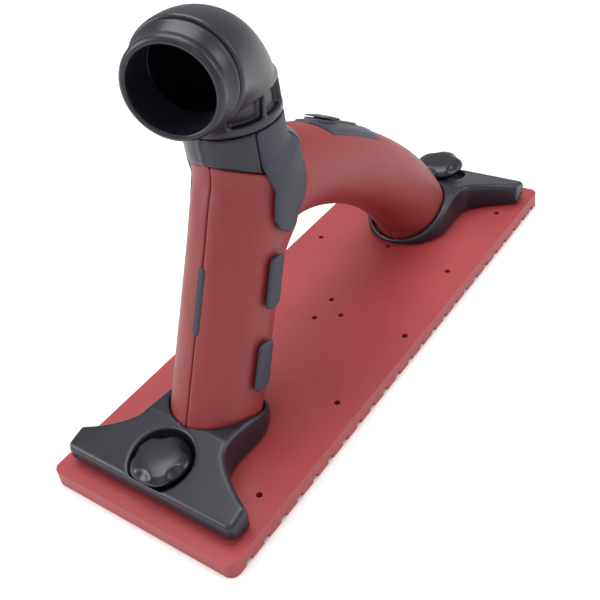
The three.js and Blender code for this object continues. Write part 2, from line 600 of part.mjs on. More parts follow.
function clampJaw(end) {
  const half = [...[...JAW_NOSE].reverse(), ...JAW_EDGE];
  const outline = [...half.map(([u, v]) => [u, -v]), ...[...half].reverse().map(([u, v]) => [u, v])];
  const plan = end > 0 ? outline : mirrorX(outline);
  const side = end > 0 ? JAW_SIDE : mirrorX(JAW_SIDE);
  const jaw = prism(plan, 0, 30).intersect(slab(side, 50));
  const foot = end > 0 ? archSolid(0.6) : columnSolid(0.6);
  const socket = [0, CLAMP.lift / 2, CLAMP.lift].map((drop) => lowered(foot, drop));
  const stud = end * CLAMP.stud;
  const recess = turned(
    [[0, CLAMP.recessFloor], [CLAMP.recess[0], CLAMP.recessFloor], [CLAMP.recess[1], CLAMP.recessTop],
      [CLAMP.recess[1], 40], [0, 40]], stud, 0, 24,
  );
  const outerWall = end > 0
    ? box(CLAMP.recessWall, 130, -50, 50, 0, 50)
    : box(-130, -CLAMP.recessWall, -50, 50, 0, 50);
  return cut(
    jaw, ...socket,
    recess.subtract(outerWall),
    disc(stud, 0, STUD.clearance, 0, 40, 12),
    disc(stud, 0, 8.8, 0, 10.3, 16),
  );
}

// The knob, stud and washer stand up to some height above their screwed-down place.
function clampKnob(end, raised) {
  const n = 30;
  const level = (z, scale) => Array.from({ length: n }, (_, i) => {
    const t = (2 * Math.PI * i) / n;
    const r = (KNOB.lobe + KNOB.valley) / 2 + ((KNOB.lobe - KNOB.valley) / 2) * Math.cos(KNOB.lobes * t);
    return v3(end * CLAMP.stud + scale * r * Math.cos(t), scale * r * Math.sin(t), z + raised);
  });
  const head = loft([
    level(KNOB.head, 0.95), level(KNOB.rim, 1), level(KNOB.rim + 1.4, 0.86), level(KNOB.top, 0.55),
  ]);
  const hub = disc(end * CLAMP.stud, 0, KNOB.hub, KNOB.bottom + raised, KNOB.head + raised + 0.5, 16);
  return cut(
    join(head, hub), disc(end * CLAMP.stud, 0, STUD.radius + GAP, 0, STUD.top + GAP + raised, 12),
  );
}

const clampStud = (end, raised) => disc(
  end * CLAMP.stud, 0, STUD.radius, STUD.bottom + raised, STUD.top + raised, 12,
);
const clampNut = (end) => cut(
  disc(end * CLAMP.stud, 0, 4.8, 3.5, 6.3, 6), disc(end * CLAMP.stud, 0, STUD.radius + GAP, 0, 10, 12),
);
const knobWasher = (end, raised) => washer(
  end * CLAMP.stud, 0, STUD.radius + GAP, 6.8,
  CLAMP.recessFloor + 0.1 + raised, KNOB.bottom - 0.2 + raised, 16,
);
const liftSpring = (end) => washer(end * CLAMP.stud, 0, 4, 6.6, 8.3, 10, 16);

// ---------------------------------------------------------------- assembly
const RED = { color: 0xa85454, roughness: 0.55, metalness: 0 };
const BLACK = { color: 0x2c2d33, roughness: 0.5, metalness: 0 };
const RUBBER = { color: 0x4b4d57, roughness: 0.8, metalness: 0 };
const GREY = { color: 0x6f7078, roughness: 0.5, metalness: 0 };
const STEEL = { color: 0x9a9ca0, roughness: 0.35, metalness: 1 };
const SEAL = { color: 0x1c1c1e, roughness: 0.9, metalness: 0 };

const sander = new THREE.Group();
function add(name, solid, look) {
  const mesh = new THREE.Mesh(toGeometry(solid), new THREE.MeshStandardMaterial(look));
  mesh.name = name;
  sander.add(mesh);
}

add('base_plate', basePlate(), RED);
add('channel_plate', channelPlate(), RED);
PLATE_SCREWS.forEach((p, i) => add(`plate_screw_${i + 1}`, plateScrew(p), STEEL));
FOOT_BOLTS.forEach((p, i) => add(`foot_bolt_${i + 1}`, footBolt(p), STEEL));

const half = handleHalf();
add('handle_right', handleRight(half), RED);
add('handle_left', handleLeft(half), RED);
CROSS_SCREWS.forEach((p, i) => add(`handle_screw_${i + 1}`, crossScrew(p), STEEL));
add('rear_grip_pad', padFrom(rearPadTool), RUBBER);
for (const [name, tool] of Object.entries(PAD_TOOLS)) {
  const pad = padFrom(tool);
  add(`${name}_right`, pad, RUBBER);
  add(`${name}_left`, mirrorY(pad), RUBBER);
}
add('dust_tube', dustTube(), GREY);

add('slider_bezel', sliderBezel(), GREY);
add('slider_track', sliderTrack(), BLACK);
add('airflow_slider', airflowSlider(), BLACK);
add('airflow_shutter', airflowShutter(), BLACK);

add('swivel_collar', swivelCollar(), BLACK);
add('hose_elbow', hoseElbow(), BLACK);
add('swivel_seal', swivelSeal(), SEAL);
add('swivel_clip', swivelClip(), STEEL);
add('hose_cuff', hoseCuff(), BLACK);
add('cuff_seal', cuffSeal(), SEAL);

for (const [name, end] of [['rear', -1], ['front', 1]]) {
  add(`${name}_clamp_jaw`, clampJaw(end), BLACK);
  add(`${name}_knob`, clampKnob(end, RAISED[name]), BLACK);
  add(`${name}_clamp_stud`, clampStud(end, RAISED[name]), STEEL);
  add(`${name}_knob_washer`, knobWasher(end, RAISED[name]), STEEL);
  add(`${name}_clamp_nut`, clampNut(end), STEEL);
  add(`${name}_lift_spring`, liftSpring(end), STEEL);
}

export default sander;
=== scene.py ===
import json
import math

import bmesh
import bpy
import numpy as np
import openvdb
from mathutils import Matrix, Vector


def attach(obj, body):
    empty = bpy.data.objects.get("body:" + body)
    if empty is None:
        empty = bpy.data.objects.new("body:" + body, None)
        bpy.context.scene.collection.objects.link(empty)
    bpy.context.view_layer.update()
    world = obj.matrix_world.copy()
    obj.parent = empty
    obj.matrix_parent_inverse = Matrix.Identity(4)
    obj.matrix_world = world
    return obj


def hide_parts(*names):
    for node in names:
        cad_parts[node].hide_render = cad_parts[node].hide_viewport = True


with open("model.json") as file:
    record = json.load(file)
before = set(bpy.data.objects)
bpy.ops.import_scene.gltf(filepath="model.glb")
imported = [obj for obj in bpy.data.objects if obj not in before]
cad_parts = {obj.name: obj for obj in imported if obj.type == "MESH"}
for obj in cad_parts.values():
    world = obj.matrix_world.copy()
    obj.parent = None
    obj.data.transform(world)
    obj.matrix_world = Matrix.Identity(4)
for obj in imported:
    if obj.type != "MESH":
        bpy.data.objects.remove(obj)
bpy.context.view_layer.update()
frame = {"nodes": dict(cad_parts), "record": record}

MM = 0.001

# ------------------------------------------------------------------ dimensions, the same as the CAD's
LEAN_ANGLE = math.radians(26.2)
COLUMN_FOOT = np.array([-67.3, 0, 21.4])
COLUMN_RADIUS, COLUMN_LENGTH, COLUMN_FLARE = 16.5, 80.6, 1.9
LEAN = np.array([math.sin(LEAN_ANGLE), 0, math.cos(LEAN_ANGLE)])
ACROSS = np.array([math.cos(LEAN_ANGLE), 0, -math.sin(LEAN_ANGLE)])
ARCH_PATH = np.array([[-33.9, 77.6], [-27.1, 93.7], [21.8, 71.9], [58.1, 43.1], [71.5, 13.6]])
ARCH_RISE, ARCH_HALF = (20.4, 11.6, 18.1), (15.9, 15.4)
ARCH_ROOT = 44  # distance up the column where the arch's root begins
# Each foot's upright section by height: distance out from the plate's middle, half-length and half-width.
# The rear foot is -1 and the front foot is 1.
FOOT_LEVELS = (6.9, 14, 21.4)
FOOT_SECTIONS = {
    -1: ((72, 16.6, 14.6), (70.6, 17.6, 16.3), (67.3, 18.4, 16.5)),
    1: ((72, 16.6, 14.6), (70.6, 17.6, 15.6), (68, 18.6, 15.4)),
}
FOOT_X, FOOT_Z = 72, FOOT_LEVELS[0]
SWIVEL_X, SWIVEL_Z, SWIVEL_RADIUS = -33.4, 112.8, 16.85
BEND, PORT_Z = 25.2, 138.0
PORT_ANGLE = math.radians(-162.8)
PORT = np.array([math.cos(PORT_ANGLE), math.sin(PORT_ANGLE), 0])
PORT_SIDE = np.array([PORT[1], -PORT[0], 0])
TUBE_START, TUBE_SWELL, BORE = 16.8, 1.3, 13.5
CUFF_FROM, CUFF_LENGTH = 25.6, 9.5
STUD_X = 100.4
KNOB_RAISED = {"rear": 0.0, "front": 4.5}


# ------------------------------------------------------------------ fields
def smooth_min(a, b, k):
    h = np.clip(0.5 + 0.5 * (b - a) / k, 0, 1)
    return b + (a - b) * h - k * h * (1 - h)


def smooth_max(a, b, k):
    return -smooth_min(-a, -b, k)


def ramp(value, start, end):
    t = np.clip((value - start) / (end - start), 0, 1)
    return t * t * (3 - 2 * t)


class Grid:
    """Sample points of a box, as broadcastable x, y and z arrays, in millimetres."""

    def __init__(self, low, high, step):
        self.low, self.step = np.array(low, float), step
        axes = [np.arange(lo, hi + step, step, dtype=np.float32) for lo, hi in zip(low, high)]
        self.x = axes[0][:, None, None]
        self.y = axes[1][None, :, None]
        self.z = axes[2][None, None, :]
        self.shape = tuple(len(a) for a in axes)

    def placed(self, points):
        return points

    def along(self, origin, direction):
        """Distance of each point from an origin along a direction."""
        return sum((c - o) * d for c, o, d in zip((self.x, self.y, self.z), origin, direction))


def polygon_distance(u, v, points):
    """Signed distance in a plane to a closed polygon, negative inside."""
    points = np.asarray(points, float)
    best = np.full(np.broadcast(u, v).shape, 1e9, np.float32)
    inside = np.zeros(best.shape, bool)
    for (x0, y0), (x1, y1) in zip(points, np.roll(points, -1, axis=0)):
        ex, ey = x1 - x0, y1 - y0
        t = np.clip(((u - x0) * ex + (v - y0) * ey) / (ex * ex + ey * ey), 0, 1)
        best = np.minimum(best, np.hypot(u - x0 - ex * t, v - y0 - ey * t))
        if y0 != y1:
            crosses = ((v >= min(y0, y1)) & (v < max(y0, y1))) & (u < x0 + (v - y0) * ex / ey)
            inside ^= crosses
    return np.where(inside, -best, best)


def curve_through(points, steps):
    """A smooth curve through plane points, as steps points for each span."""
    points = np.array([points[0], *points, points[-1]], float)
    out = []
    for a, b, c, d in zip(points, points[1:], points[2:], points[3:]):
        square, cube = 2 * a - 5 * b + 4 * c - d, 3 * b - a - 3 * c + d
        for k in range(steps):
            t = k / steps
            out.append(0.5 * (2 * b + (c - a) * t + square * t**2 + cube * t**3))
    out.append(points[-1])
    return np.array(out)


def arch_line():
    """Points down the arch's centre line and their places: -1 to 0 in its root, 0 to 1 along the curve."""
    t = np.linspace(0, 1, 181)
    p = np.repeat(ARCH_PATH[None], len(t), axis=0)
    while p.shape[1] > 1:
        p = p[:, :-1] + (p[:, 1:] - p[:, :-1]) * t[:, None, None]
    curve = p[:, 0]
    root = (COLUMN_FOOT + ARCH_ROOT * LEAN)[[0, 2]]
    share = np.linspace(0, 1, 30, endpoint=False)
    head = root + share[:, None] * (curve[0] - root)
    end = curve[-1] - curve[-2]
    tail = curve[-1] + np.outer(np.linspace(0.5, 12, 24), end / np.linalg.norm(end))
    return np.vstack([head, curve, tail]), np.concatenate([share - 1, t, np.ones(len(tail))])


LINE, PLACES = arch_line()
TANGENT = np.gradient(LINE, axis=0)
TANGENT /= np.linalg.norm(TANGENT, axis=1)[:, None]


def arch_frame(x, z):
    """Place along the arch, height off its centre line and distance behind its root, for x and z."""
    px, pz = np.broadcast_arrays(x, z)
    flat = np.stack([px.ravel(), pz.ravel()], 1)
    place, height, behind = (np.empty(len(flat)) for _ in range(3))
    for start in range(0, len(flat), 20000):
        part = slice(start, start + 20000)
        gap = flat[part, None] - LINE[None]
        near = np.argmin((gap**2).sum(2), axis=1)
        d, along = gap[np.arange(len(near)), near], TANGENT[near]
        place[part] = PLACES[near]
        height[part] = d[:, 1] * along[:, 0] - d[:, 0] * along[:, 1]
        behind[part] = np.where(near == 0, -(d * along).sum(1), -99)
    return (v.reshape(px.shape).astype(np.float32)[:, None, :] for v in (place, height, behind))


def ellipse_distance(u, v, a, b):
    k0 = np.sqrt((u / a) ** 2 + (v / b) ** 2) + 1e-6
    k1 = np.sqrt((u / a**2) ** 2 + (v / b**2) ** 2) + 1e-6
    return k0 * (k0 - 1) / k1


def foot_field(g, end):
    """The foot's own section near the plate, an upright ellipse that narrows downwards."""
    centre, long, wide = (np.interp(g.z, FOOT_LEVELS, row) for row in zip(*FOOT_SECTIONS[end]))
    return ellipse_distance(g.x - end * centre, g.y, long, wide)


def arch_field(g):
    t, n, behind = arch_frame(g.x[:, 0, :], g.z[:, 0, :])
    root = np.clip(-t, 0, 1)
    t = np.clip(t, 0, 1)
    a = ARCH_RISE[0] * (1 - t) ** 2 + 2 * ARCH_RISE[1] * t * (1 - t) + ARCH_RISE[2] * t * t
    b = ARCH_HALF[0] + (ARCH_HALF[1] - ARCH_HALF[0]) * t
    a, b = a + (11 - a) * root**1.5, b + (12 - b) * root**1.5
    arch = np.maximum(ellipse_distance(n, g.y, a, b), behind)
    low = ramp(g.z, 18, 12)
    return arch * (1 - low) + foot_field(g, 1) * low


def column_field(g, capped=True):
    """The column, cut off at its top or running on past it, and the distance up it."""
    s = g.along(COLUMN_FOOT, LEAN)
    r = np.hypot(g.along(COLUMN_FOOT, ACROSS), g.y)
    swell = COLUMN_FLARE * np.clip((s - 72) / (COLUMN_LENGTH - 72), 0, 1) ** 2 if capped else 0
    low = ramp(g.z, 22, 13)
    side = (r - COLUMN_RADIUS - swell) * (1 - low) + foot_field(g, -1) * low
    return (smooth_max(side, s - COLUMN_LENGTH, 0.8) if capped else side), s


def handle_field(g, capped=True):
    """The handle's outside, and the distance up the column."""
    column, s = column_field(g, capped)
    return smooth_min(column, arch_field(g), 4.0), s


def collar_field(g):
    tilted = np.hypot(g.along(COLUMN_FOOT, ACROSS) + 0.8, g.y) - (SWIVEL_RADIUS + COLUMN_FLARE - 0.4)
    upright = np.hypot(g.x - SWIVEL_X, g.y) - SWIVEL_RADIUS
    share = ramp(g.z, 97, 104)
    return tilted * (1 - share) + upright * share


# ------------------------------------------------------------------ meshes from fields
def from_field(name, g, field, smooth=2, mirror=None):
    """A mesh of a field's zero surface, in metres, or its mirror image across an axis."""
    volume = openvdb.FloatGrid()
    volume.background = 3 * g.step
    values = np.broadcast_to(field, g.shape)
    volume.copyFromArray(np.array(values, np.float32, order="C"))
    points, quads = volume.convertToQuads(isovalue=0.0)
    points = g.placed(points * g.step + g.low)
    if mirror is not None:
        points[:, mirror] *= -1
    mesh = bpy.data.meshes.new(name)
    mesh.from_pydata((points * MM).tolist(), [], quads.tolist())
    work = bmesh.new()
    work.from_mesh(mesh)
    for _ in range(smooth):
        bmesh.ops.smooth_vert(
            work, verts=work.verts, factor=0.5, use_axis_x=True, use_axis_y=True, use_axis_z=True,
        )
    bmesh.ops.recalc_face_normals(work, faces=work.faces)
    work.to_mesh(mesh)
    work.free()
    return shown(name, mesh)


def shown(name, mesh):
    mesh.shade_smooth()
    piece = bpy.data.objects.new(name, mesh)
    bpy.context.scene.collection.objects.link(piece)
    return piece


def dress(piece, body, material, slot, *nodes):
    piece.data.materials.clear()
    piece.data.materials.append(material)
    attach(piece, body)
    if nodes:
        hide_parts(*nodes)


def turned(name, profile, origin, axis, across, segments=128):
    """A closed body turned from [radius, height] points about an axis."""
    axis, across = Vector(axis).normalized(), Vector(across).normalized()
    other = axis.cross(across)
    turns = [2 * math.pi * k / segments for k in range(segments)]
    spokes = [across * math.cos(a) + other * math.sin(a) for a in turns]
    work = bmesh.new()
    rings = [
        [work.verts.new((Vector(origin) + axis * h + spoke * r) * MM) for spoke in spokes]
        for r, h in profile
    ]
    for low, high in zip(rings, rings[1:] + rings[:1]):
        for k in range(segments):
            work.faces.new((low[k], low[(k + 1) % segments], high[(k + 1) % segments], high[k]))
    bmesh.ops.recalc_face_normals(work, faces=work.faces)
    mesh = bpy.data.meshes.new(name)
    work.to_mesh(mesh)
    work.free()
    return shown(name, mesh)


# ------------------------------------------------------------------ materials
def node(tree, kind, **settings):
    made = tree.nodes.new(kind)
    for key, value in settings.items():
        setattr(made, key, value)
    return made


def noise(tree, coords, scale, detail=4.0, stretch=(1, 1, 1)):
    mapping = node(tree, "ShaderNodeMapping")
    mapping.inputs["Scale"].default_value = stretch
    tree.links.new(coords, mapping.inputs["Vector"])
    made = node(tree, "ShaderNodeTexNoise")
    made.inputs["Scale"].default_value = scale
    made.inputs["Detail"].default_value = detail
    tree.links.new(mapping.outputs["Vector"], made.inputs["Vector"])
    return made.outputs["Fac"]


def spread(tree, value, low, high, start=0.3, end=0.7):
    """Maps a texture's value from start..end to low..high."""
    made = node(tree, "ShaderNodeMapRange")
    for key, number in (("From Min", start), ("From Max", end), ("To Min", low), ("To Max", high)):
        made.inputs[key].default_value = number
    tree.links.new(value, made.inputs["Value"])
    return made.outputs["Result"]


def finish_of(name, dark, light, rough, grain, depth, edge_highlight=None, metal=0.0, mottle=40, stretch=(1, 1, 1)):
    """A procedural finish: mottled colour, varied roughness, moulded grain, and a painted highlight on
    convex edges.

    grain is the size of the fine texture and depth its depth, in millimetres; mottle is the scale of the
    broad variation, and stretch draws both out along an axis.
    """
    made = bpy.data.materials.new(name)
    made.use_nodes = True
    tree = made.node_tree
    shader = tree.nodes["Principled BSDF"]
    shader.inputs["Metallic"].default_value = metal
    coords = node(tree, "ShaderNodeTexCoord").outputs["Object"]
    broad = noise(tree, coords, mottle, 5.0, stretch)
    fine = noise(tree, coords, 1000 / grain, 2.0, stretch)

    blend = node(tree, "ShaderNodeMix", data_type="RGBA")
    blend.inputs["A"].default_value = (*dark, 1)
    blend.inputs["B"].default_value = (*light, 1)
    share = node(tree, "ShaderNodeMath", operation="ADD")
    tree.links.new(spread(tree, broad, 0.0, 0.7), share.inputs[0])
    tree.links.new(spread(tree, fine, 0.0, 0.3), share.inputs[1])
    tree.links.new(share.outputs[0], blend.inputs["Factor"])
    colour = blend.outputs["Result"]
    # Paler colour on convex edges, from Pointiness broken up by noise: a painted highlight along the
    # edges.
    if edge_highlight:
        pointiness = node(tree, "ShaderNodeNewGeometry").outputs["Pointiness"]
        edge = spread(tree, pointiness, 0.0, 0.6, 0.51, 0.56)
        patchy = node(tree, "ShaderNodeMath", operation="MULTIPLY")
        tree.links.new(edge, patchy.inputs[0])
        tree.links.new(spread(tree, noise(tree, coords, 160, 4.0), 0.2, 1.0), patchy.inputs[1])
        highlight_mix = node(tree, "ShaderNodeMix", data_type="RGBA")
        highlight_mix.inputs["B"].default_value = (*edge_highlight, 1)
        tree.links.new(colour, highlight_mix.inputs["A"])
        tree.links.new(patchy.outputs[0], highlight_mix.inputs["Factor"])
        colour = highlight_mix.outputs["Result"]
    tree.links.new(colour, shader.inputs["Base Color"])
    tree.links.new(spread(tree, broad, rough - 0.05, rough + 0.06), shader.inputs["Roughness"])

    bump = node(tree, "ShaderNodeBump")
    bump.inputs["Strength"].default_value = 1.0
    bump.inputs["Distance"].default_value = depth * MM
    tree.links.new(fine, bump.inputs["Height"])
    tree.links.new(bump.outputs["Normal"], shader.inputs["Normal"])
    return made


def linear(*srgb):
    return tuple(((c / 255 + 0.055) / 1.055) ** 2.4 if c > 10 else c / 255 / 12.92 for c in srgb)


# Each finish: darker and lighter colour, roughness, grain and its depth, and the colour of the painted
# highlight on convex edges.
FINISHES = {
    # The handle's red is darker than the plate's red of the same plastic: painted shade on the column and
    # arch. The plate's red is the lighter, lit copy.
    "red_plastic": ((124, 38, 40), (132, 43, 45), 0.48, 0.7, 0.03, (150, 62, 62)),
    "red_plate_lit": ((146, 50, 53), (153, 54, 57), 0.48, 0.7, 0.03, None),
    "black_plastic": ((16, 15, 27), (23, 22, 37), 0.36, 0.6, 0.02, (46, 47, 60)),
    "knob_plastic": ((14, 14, 24), (20, 20, 34), 0.33, 0.5, 0.015, (46, 47, 60)),
    "grey_plastic": ((36, 38, 50), (45, 47, 60), 0.42, 0.5, 0.02, (66, 68, 82)),
    "track_plastic": ((8, 14, 13), (14, 21, 19), 0.34, 0.4, 0.015, (28, 36, 35)),
    "grip_rubber": ((36, 37, 50), (44, 45, 58), 0.55, 0.35, 0.03, (60, 62, 76)),
    "seal_rubber": ((24, 24, 26), (34, 34, 36), 0.7, 0.3, 0.03, None),
}
FINISH = {}
for name, (dark, light, rough, grain, depth, edge_highlight) in FINISHES.items():
    edge_highlight_colour = linear(*edge_highlight) if edge_highlight else None
    FINISH[name] = finish_of(name, linear(*dark), linear(*light), rough, grain, depth, edge_highlight_colour)
FINISH["steel"] = finish_of(
    "steel", linear(150, 152, 156), linear(186, 188, 192), 0.32, 0.25, 0.01,
    metal=1.0, mottle=120, stretch=(1, 1, 6),
)
# The handle's red carries painted shade; the plate's red is its lighter, lit copy.
RED_SHADED, RED_PLATE_LIT, BLACK, KNOB_BLACK = (
    FINISH[name] for name in ("red_plastic", "red_plate_lit", "black_plastic", "knob_plastic")
)
GREY, TRACK, RUBBER = FINISH["grey_plastic"], FINISH["track_plastic"], FINISH["grip_rubber"]

# CAD nodes that stay take the finish of their slot. Red ones have meshes too coarse for the painted edge
# highlight, and take the plate's lighter red, a lit copy of the handle's darker red.
for part in frame["record"]["subparts"]:
    kept = frame["nodes"][part["node"]]
    kept.data.materials.clear()
    finish = "red_plate_lit" if part["material_slot"] == "red_plastic" else part["material_slot"]
    kept.data.materials.append(FINISH[finish])


# ------------------------------------------------------------------ camera, floor and lights
def add_camera():
    lens = bpy.data.cameras.new("camera")
    lens.sensor_width, lens.lens = 36.0, 53.22
    lens.shift_x, lens.shift_y = 0.068, -0.047
    lens.clip_start, lens.clip_end = 0.01, 20
    camera = bpy.data.objects.new("camera", lens)
    right, up = (0.58786, -0.79301, -0.15985), (0.54906, 0.24601, 0.79876)
    back = (-0.59410, -0.55732, 0.58003)
    turn = Matrix((right, up, back)).transposed().to_4x4()
    camera.matrix_world = Matrix.Translation((-0.22392, -0.17747, 0.23573)) @ turn
    bpy.context.scene.collection.objects.link(camera)
    bpy.context.scene.camera = camera


def add_floor():
    work = bmesh.new()
    bmesh.ops.create_grid(work, x_segments=8, y_segments=8, size=3.0)
    mesh = bpy.data.meshes.new("floor")
    work.to_mesh(mesh)
    work.free()
    floor = bpy.data.objects.new("floor", mesh)
    bpy.context.scene.collection.objects.link(floor)
    floor.location.z = -0.0002
    paper = finish_of("floor", (0.88, 0.88, 0.88), (0.9, 0.9, 0.9), 0.8, 3.0, 0.01, mottle=4)
    mesh.materials.append(paper)


def add_light(name, place, target, size, power, colour=(1, 1, 1)):
    light = bpy.data.lights.new(name, "AREA")
    light.shape, light.size, light.energy, light.color = "SQUARE", size, power, colour
    lamp = bpy.data.objects.new(name, light)
    lamp.location = place
    lamp.rotation_euler = (Vector(target) - Vector(place)).to_track_quat("-Z", "Y").to_euler()
    bpy.context.scene.collection.objects.link(lamp)


add_camera()
add_floor()
add_light("overhead", (0.15, 0.1, 1.1), (0, 0, 0), 0.9, 12)
add_light("left", (-0.75, 0.75, 0.6), (-0.03, 0, 0.07), 0.6, 7)
add_light("right", (0.6, -1.0, 0.55), (0, 0, 0.05), 0.6, 5)
add_light("camera_side", (-0.9, -0.7, 0.8), (0, 0, 0.05), 0.9, 2.5)
world = bpy.data.worlds.new("studio")
bpy.context.scene.world = world
world.use_nodes = True
world.node_tree.nodes["Background"].inputs["Color"].default_value = (1, 1, 1, 1)
world.node_tree.nodes["Background"].inputs["Strength"].default_value = 0.5
bpy.context.scene.view_settings.view_transform = "Standard"


# ------------------------------------------------------------------ plate
def rounded_copy(name, node_name, width, segments=3, angle=30):
    """A copy of a CAD node with its sharp edges rounded."""
    mesh = frame["nodes"][node_name].data.copy()
    work = bmesh.new()
    work.from_mesh(mesh)
    bmesh.ops.remove_doubles(work, verts=work.verts, dist=2e-6)
    bmesh.ops.dissolve_limit(work, angle_limit=math.radians(1), verts=work.verts, edges=work.edges)
    work.to_mesh(mesh)
    work.free()
    mesh.name = name
    piece = shown(name, mesh)
    bevel = piece.modifiers.new("edges", "BEVEL")
    bevel.width, bevel.segments, bevel.limit_method = width * MM, segments, "ANGLE"
    bevel.angle_limit, bevel.use_clamp_overlap, bevel.harden_normals = math.radians(angle), True, False
    return piece


def make_plate():
    """The plate is its CAD body with rounded edges."""
    plate = rounded_copy("plate_shell", "base_plate", 0.9)
    dress(plate, "sander", RED_PLATE_LIT, "red_plastic", "base_plate")
    normals = plate.modifiers.new("normals", "WEIGHTED_NORMAL")
    normals.keep_sharp = True


# ------------------------------------------------------------------ handle
PAD_DEPTH, PAD_SEAM = 1.3, 0.35
REAR_PAD = (23.3, 47.2, 174.8, 185.2)
SIDE_PADS = {
    "upper_grip_pad": [(34.2, -100), (52.6, -101), (55.2, -79), (36.4, -76)],
    "lower_grip_pad": [(4.4, -102), (22.4, -102), (25, -79), (7.2, -76)],
}
WEB_PAD = [
    (-40.2, 112.5), (-40.2, 97), (-38.8, 91), (-42, 82.5), (-41, 78), (-36, 73.8), (-31, 72.4),
    (-25.5, 74.4), (-22.4, 78), (-18.8, 87.6), (-17.5, 95), (-19.5, 101), (-22, 104), (-22, 112.5),
]


def column_places(g):
    """Distance up the column, and distance round it from its front, for every point."""
    s = g.along(COLUMN_FOOT, LEAN)
    angle = np.arctan2(g.y, g.along(COLUMN_FOOT, ACROSS))
    return s, angle


def web_area(g):
    """Distance in the plane y = 0 to the web pad's outline."""
    x, z = np.broadcast_arrays(g.x[:, :, 0], g.z[:, 0, :])
    return outline_distance(x, z, WEB_PAD, 1.5)[:, None, :]


def pad_areas(g):
    """Distance in the surface to each pad's outline. Only the right side, y below 0, is covered."""
    s, angle = column_places(g)
    right = np.where(g.y > 0, -angle, angle)
    arc = np.degrees(right) * math.radians(1) * COLUMN_RADIUS
    areas = {}
    for name, points in SIDE_PADS.items():
        outline = [(a, math.radians(b) * COLUMN_RADIUS) for a, b in points]
        areas[name] = polygon_distance(s, arc, shrunk(outline, 2.2)) - 2.2
    rear = np.where(angle < 0, angle + 2 * math.pi, angle) * COLUMN_RADIUS
    low, high = REAR_PAD[0] + 1.5, REAR_PAD[1] - 1.5
    centre = math.pi * COLUMN_RADIUS
    along = np.maximum(np.maximum(low - s, s - high), 0)
    areas["rear_grip_pad"] = np.hypot(along, rear - centre) - 1.5
    areas["web_pad"] = np.broadcast_to(web_area(g), g.shape)
    return areas


def shrunk(points, by):
    """A polygon's corners moved inwards, each by about the same distance from its edges."""
    points = np.asarray(points, float)
    before, after = np.roll(points, 1, axis=0), np.roll(points, -1, axis=0)
    area = 0.5 * np.sum(points[:, 0] * after[:, 1] - after[:, 0] * points[:, 1])
    out = []
    for a, b, c in zip(before, points, after):
        e0, e1 = (b - a) / np.linalg.norm(b - a), (c - b) / np.linalg.norm(c - b)
        n0, n1 = np.array([-e0[1], e0[0]]), np.array([-e1[1], e1[0]])
        bisector = n0 + n1
        bisector /= max(np.dot(bisector, n0), 0.3) if np.linalg.norm(bisector) else 1
        out.append(b + bisector * by * (1 if area > 0 else -1))
    return np.array(out)


CROSS_SCREWS = [LINE[np.argmin(abs(PLACES - t))] for t in (0.3, 0.72)]
HANDLE_WALL, DUCT = 3.4, 6.4


def slide_frame():
    """The bezel's rear end on the arch's crown, its direction, the way off the arch, and its length."""
    ends = []
    for t in (0.335, 0.585):
        i = np.argmin(abs(PLACES - t))
        rise = ARCH_RISE[0] * (1 - t) ** 2 + 2 * ARCH_RISE[1] * t * (1 - t) + ARCH_RISE[2] * t * t
        ends.append(LINE[i] + rise * np.array([-TANGENT[i][1], TANGENT[i][0]]))
    axis = (ends[1] - ends[0]) / np.linalg.norm(ends[1] - ends[0])
    return ends[0], axis, np.array([-axis[1], axis[0]]), np.linalg.norm(ends[1] - ends[0])


SLIDE_FROM, SLIDE_AXIS, SLIDE_UP, SLIDE_LENGTH = slide_frame()
SHOULDER, BEZEL_HALF = 8.5, 9.5
BEZEL = [(1, -2.5), (SHOULDER, -BEZEL_HALF), (SLIDE_LENGTH, -BEZEL_HALF), (SLIDE_LENGTH, BEZEL_HALF),
         (SHOULDER, BEZEL_HALF), (1, 2.5)]
SLOT = [(7, -3.9), (33.8, -3.9), (33.8, 3.9), (7, 3.9)]
TRACK_TOP, STEM_SLOT = 1.8, (10.2, 30.2, 2.4)


class SlideGrid(Grid):
    """A grid along the slider: its own x is along the slide, y across it and z off the chord."""

    def __init__(self, low, high, step):
        super().__init__(low, high, step)
        self.a, self.h = self.x, self.z
        self.x = SLIDE_FROM[0] + self.a * SLIDE_AXIS[0] + self.h * SLIDE_UP[0]
        self.z = SLIDE_FROM[1] + self.a * SLIDE_AXIS[1] + self.h * SLIDE_UP[1]

    def placed(self, points):
        a, y, h = points.T
        return np.stack([
            SLIDE_FROM[0] + a * SLIDE_AXIS[0] + h * SLIDE_UP[0], y,
            SLIDE_FROM[1] + a * SLIDE_AXIS[1] + h * SLIDE_UP[1],
        ], 1)


def outline_distance(u, v, points, corner=0.0):
    """Distance to a polygon whose corners are rounded."""
    return polygon_distance(u, v, shrunk(points, corner) if corner else points) - corner


def stem_slot(along, across):
    low, high, half = STEM_SLOT
    return np.maximum(np.maximum(low - along, along - high), abs(across) - half)


def slide_places(g):
    """Distance along the slide and off its chord, for points of an ordinary grid."""
    dx, dz = g.x - SLIDE_FROM[0], g.z - SLIDE_FROM[1]
    return dx * SLIDE_AXIS[0] + dz * SLIDE_AXIS[1], dx * SLIDE_UP[0] + dz * SLIDE_UP[1]


